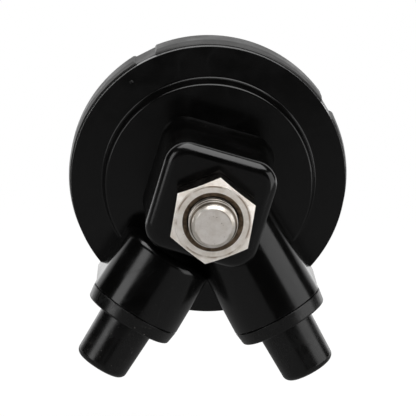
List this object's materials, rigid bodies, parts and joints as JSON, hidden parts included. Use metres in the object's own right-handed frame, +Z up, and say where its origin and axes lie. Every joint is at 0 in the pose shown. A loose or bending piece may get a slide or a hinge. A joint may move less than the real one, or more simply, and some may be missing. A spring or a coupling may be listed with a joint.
{
  "type": "battery switch",
  "caption": "Rotary battery isolator switch: round body, rear mounting stud with nut, two splayed cable legs closed by rubber boots, and a turning front knob.",
  "frame": {"origin": "where the mounting stud's axis meets the face of the rear boss", "axes": "-Y out of the stud's tip, +Y out of the knob, +Z up, the cable legs splay downwards"},
  "size_m": [0.0612, 0.0718, 0.0716],
  "materials": {
    "black_plastic": "glossy moulded black",
    "boot_rubber": "smooth satin black rubber",
    "rubber": "plain seal rubber",
    "stainless": "machined stainless steel",
    "spring_steel": "spring wire",
    "brass": "turned brass",
    "copper": "stamped copper",
    "red_plastic": "moulded red",
    "white_plastic": "inlaid white",
    "insulator": "moulded phenolic"
  },
  "bodies": {
    "root": {"rear_housing": "black_plastic", "mounting_stud": "stainless", "stud_seal": "rubber", "hex_nut": "stainless", "front_cover": "black_plastic", "cover_gasket": "rubber", "cover_screw_1": "stainless", "cover_screw_2": "stainless", "cover_screw_3": "stainless", "cover_screw_4": "stainless", "insulator_plate": "insulator", "cable_boot_left": "boot_rubber", "cable_boot_right": "boot_rubber", "fixed_contact_left": "copper", "fixed_contact_right": "copper", "terminal_block_left": "brass", "terminal_block_right": "brass", "terminal_screw_left": "stainless", "terminal_screw_right": "stainless", "lock_washer_left": "spring_steel", "lock_washer_right": "spring_steel", "spindle_bush": "brass", "spindle_seal": "rubber", "detent_spring": "spring_steel"},
    "knob_group": {"spindle": "brass", "rotor": "insulator", "contact_bridge": "copper", "contact_spring": "spring_steel", "knob": "red_plastic", "knob_pointer": "white_plastic", "knob_screw": "stainless", "knob_washer": "stainless", "knob_cap": "black_plastic"},
    "detent": {"detent_plunger": "brass"}
  },
  "joints": [
    {"name": "knob_turn", "type": "hinge", "parent": "root", "child": "knob_group", "pos_m": [0, 0.0334, 0], "axis": [0, -1, 0], "range_deg": [0, 90]},
    {"name": "detent_press", "type": "slide", "parent": "root", "child": "detent", "axis": [0, -1, 0], "range_m": [0, 0.0008], "stiffness_N_per_m": 600, "springref_m": -0.001, "deforming": ["detent_spring"]}
  ]
}
